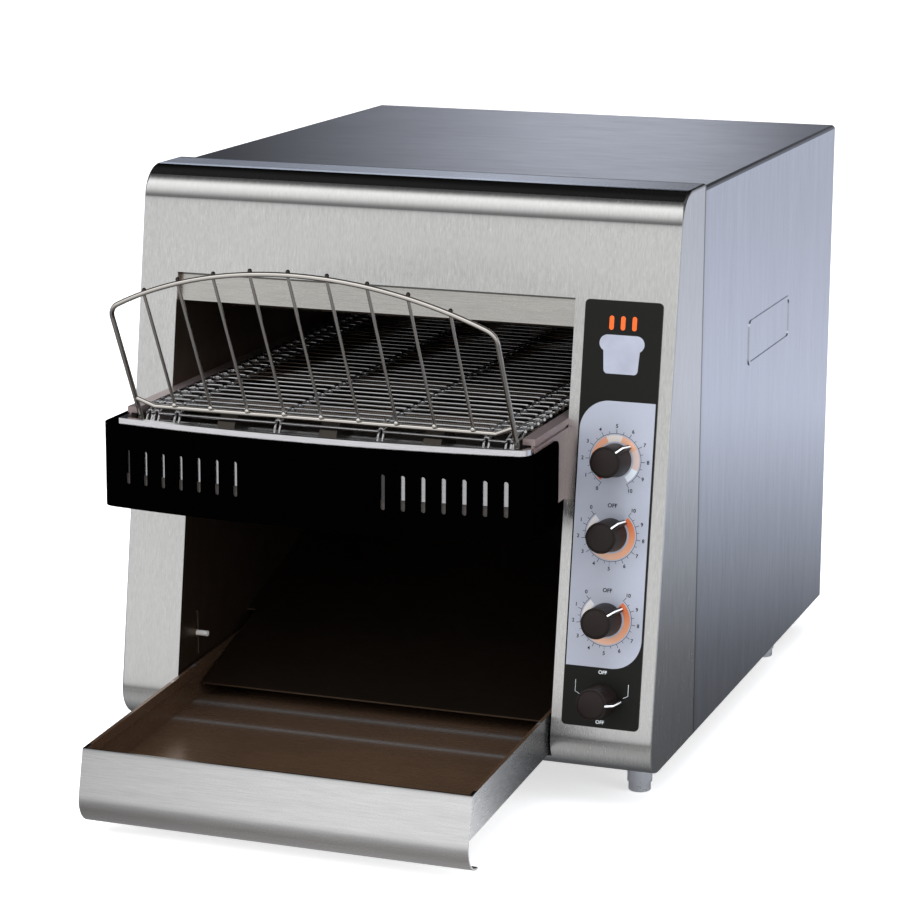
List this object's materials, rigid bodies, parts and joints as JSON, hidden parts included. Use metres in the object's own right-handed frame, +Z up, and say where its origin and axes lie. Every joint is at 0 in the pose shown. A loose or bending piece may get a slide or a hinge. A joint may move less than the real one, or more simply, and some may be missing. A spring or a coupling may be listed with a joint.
{
  "type": "conveyor toaster",
  "caption": "Countertop conveyor toaster with a wire belt, arched bread rack, bowed feed guard, pull-out toast tray and a column of control knobs.",
  "frame": {"origin": "on the counter, under the middle of the whole toaster", "axes": "+Z up, +X to the operator's right, -Y towards the operator"},
  "size_m": [0.37, 0.6422, 0.3966],
  "materials": {
    "brushed_stainless": "brushed stainless sheet, vertical grain",
    "plain_stainless": "mill-finish stainless sheet, heat tinted",
    "bright_aluminised": "aluminised reflector sheet",
    "black_enamel": "gloss black stove enamel",
    "chrome": "bright chrome plating",
    "belt_wire": "bright drawn stainless wire",
    "quartz_tube": "clear quartz with a coiled filament",
    "ceramic": "unglazed ceramic",
    "ground_steel": "ground steel shaft",
    "zinc_steel": "zinc plated steel",
    "sintered_bronze": "oil-soaked sintered bronze",
    "cast_gearbox": "as-cast aluminium",
    "black_plastic": "moulded black phenolic",
    "overlay_film": "printed polycarbonate overlay",
    "circuit_board": "green solder mask",
    "insulation": "ceramic fibre blanket"
  },
  "bodies": {
    "housing": {"front_panel": "brushed_stainless", "rear_cover": "brushed_stainless", "base_pan": "plain_stainless", "back_panel": "plain_stainless", "back_screws": "zinc_steel", "left_inner_wall": "plain_stainless", "right_inner_wall": "plain_stainless", "guide_pins": "ground_steel", "feed_baffle": "brushed_stainless", "top_reflector": "bright_aluminised", "top_insulation": "insulation", "bottom_reflector": "bright_aluminised", "top_heaters": "quartz_tube", "top_heater_holders": "ceramic", "bottom_heaters": "quartz_tube", "bottom_heater_holders": "ceramic", "left_conveyor_rail": "plain_stainless", "right_conveyor_rail": "plain_stainless", "shaft_bushings": "sintered_bronze", "conveyor_belt": "belt_wire", "drive_chain": "zinc_steel", "gear_motor": "cast_gearbox", "motor_bracket": "zinc_steel", "feed_guard": "black_enamel", "guard_fasteners": "zinc_steel", "conveyor_front_rim": "brushed_stainless", "tray_runners": "plain_stainless", "toast_ramp": "plain_stainless", "control_overlay": "overlay_film", "speed_control": "black_plastic", "top_heat_switch": "black_plastic", "bottom_heat_switch": "black_plastic", "power_switch": "black_plastic", "fan_housing": "black_plastic", "fan_guard": "chrome", "cord_gland": "black_plastic", "terminal_block": "black_plastic", "limit_thermostat": "ceramic", "control_board": "circuit_board", "leg_sleeves": "chrome"},
    "drive_shaft": {"drive_shaft": "ground_steel", "drive_sprockets": "plain_stainless", "driven_chain_sprocket": "zinc_steel"},
    "idler": {"idler_shaft": "ground_steel", "idler_rollers": "plain_stainless"},
    "motor_output": {"motor_sprocket": "zinc_steel"},
    "fan_rotor": {"fan_rotor": "black_plastic"},
    "speed_knob": {"speed_knob": "black_plastic"},
    "top_heat_knob": {"top_heat_knob": "black_plastic"},
    "bottom_heat_knob": {"bottom_heat_knob": "black_plastic"},
    "power_knob": {"power_knob": "black_plastic"},
    "toast_tray": {"toast_tray": "brushed_stainless"},
    "bread_rack": {"bread_rack": "chrome"},
    "front_left_foot": {"front_left_foot": "chrome"},
    "front_right_foot": {"front_right_foot": "chrome"},
    "rear_left_foot": {"rear_left_foot": "chrome"},
    "rear_right_foot": {"rear_right_foot": "chrome"}
  },
  "joints": [
    {"name": "drive_shaft_spin", "type": "hinge", "parent": "housing", "child": "drive_shaft", "pos_m": [0, 0.17539, 0.23741], "axis": [-1, 0, 0], "continuous": true},
    {"name": "idler_spin", "type": "hinge", "parent": "housing", "child": "idler", "pos_m": [0, -0.19291, 0.23741], "axis": [-1, 0, 0], "continuous": true},
    {"name": "motor_output_spin", "type": "hinge", "parent": "housing", "child": "motor_output", "pos_m": [0.132, 0.17539, 0.12311], "axis": [-1, 0, 0], "continuous": true},
    {"name": "fan_spin", "type": "hinge", "parent": "housing", "child": "fan_rotor", "pos_m": [0.151, 0.29339, 0.112], "axis": [0, 1, 0], "continuous": true},
    {"name": "speed_knob_turn", "type": "hinge", "parent": "housing", "child": "speed_knob", "pos_m": [0.1505, -0.14369, 0.229], "axis": [0, 0.9894, -0.1452], "range_deg": [-195, 105]},
    {"name": "top_heat_knob_turn", "type": "hinge", "parent": "housing", "child": "top_heat_knob", "pos_m": [0.1505, -0.15059, 0.182], "axis": [0, 0.9894, -0.1452], "continuous": true},
    {"name": "bottom_heat_knob_turn", "type": "hinge", "parent": "housing", "child": "bottom_heat_knob", "pos_m": [0.1505, -0.15844, 0.1285], "axis": [0, 0.9894, -0.1452], "continuous": true},
    {"name": "power_knob_turn", "type": "hinge", "parent": "housing", "child": "power_knob", "pos_m": [0.1505, -0.16591, 0.0776], "axis": [0, 0.9894, -0.1452], "continuous": true},
    {"name": "toast_tray_slide", "type": "slide", "parent": "housing", "child": "toast_tray", "axis": [0, -0.9989, -0.0471], "range_m": [0, 0.12]},
    {"name": "bread_rack_lift", "type": "slide", "parent": "housing", "child": "bread_rack", "axis": [0, 0, 1], "range_m": [0, 0.012]},
    {"name": "front_left_foot_adjust", "type": "slide", "parent": "housing", "child": "front_left_foot", "axis": [0, 0, -1], "range_m": [0, 0.008]},
    {"name": "front_right_foot_adjust", "type": "slide", "parent": "housing", "child": "front_right_foot", "axis": [0, 0, -1], "range_m": [0, 0.008]},
    {"name": "rear_left_foot_adjust", "type": "slide", "parent": "housing", "child": "rear_left_foot", "axis": [0, 0, -1], "range_m": [0, 0.008]},
    {"name": "rear_right_foot_adjust", "type": "slide", "parent": "housing", "child": "rear_right_foot", "axis": [0, 0, -1], "range_m": [0, 0.008]}
  ],
  "couplings": [
    {"joint": "idler_spin", "follows": "drive_shaft_spin", "ratio": 1},
    {"joint": "motor_output_spin", "follows": "drive_shaft_spin", "ratio": 1}
  ]
}
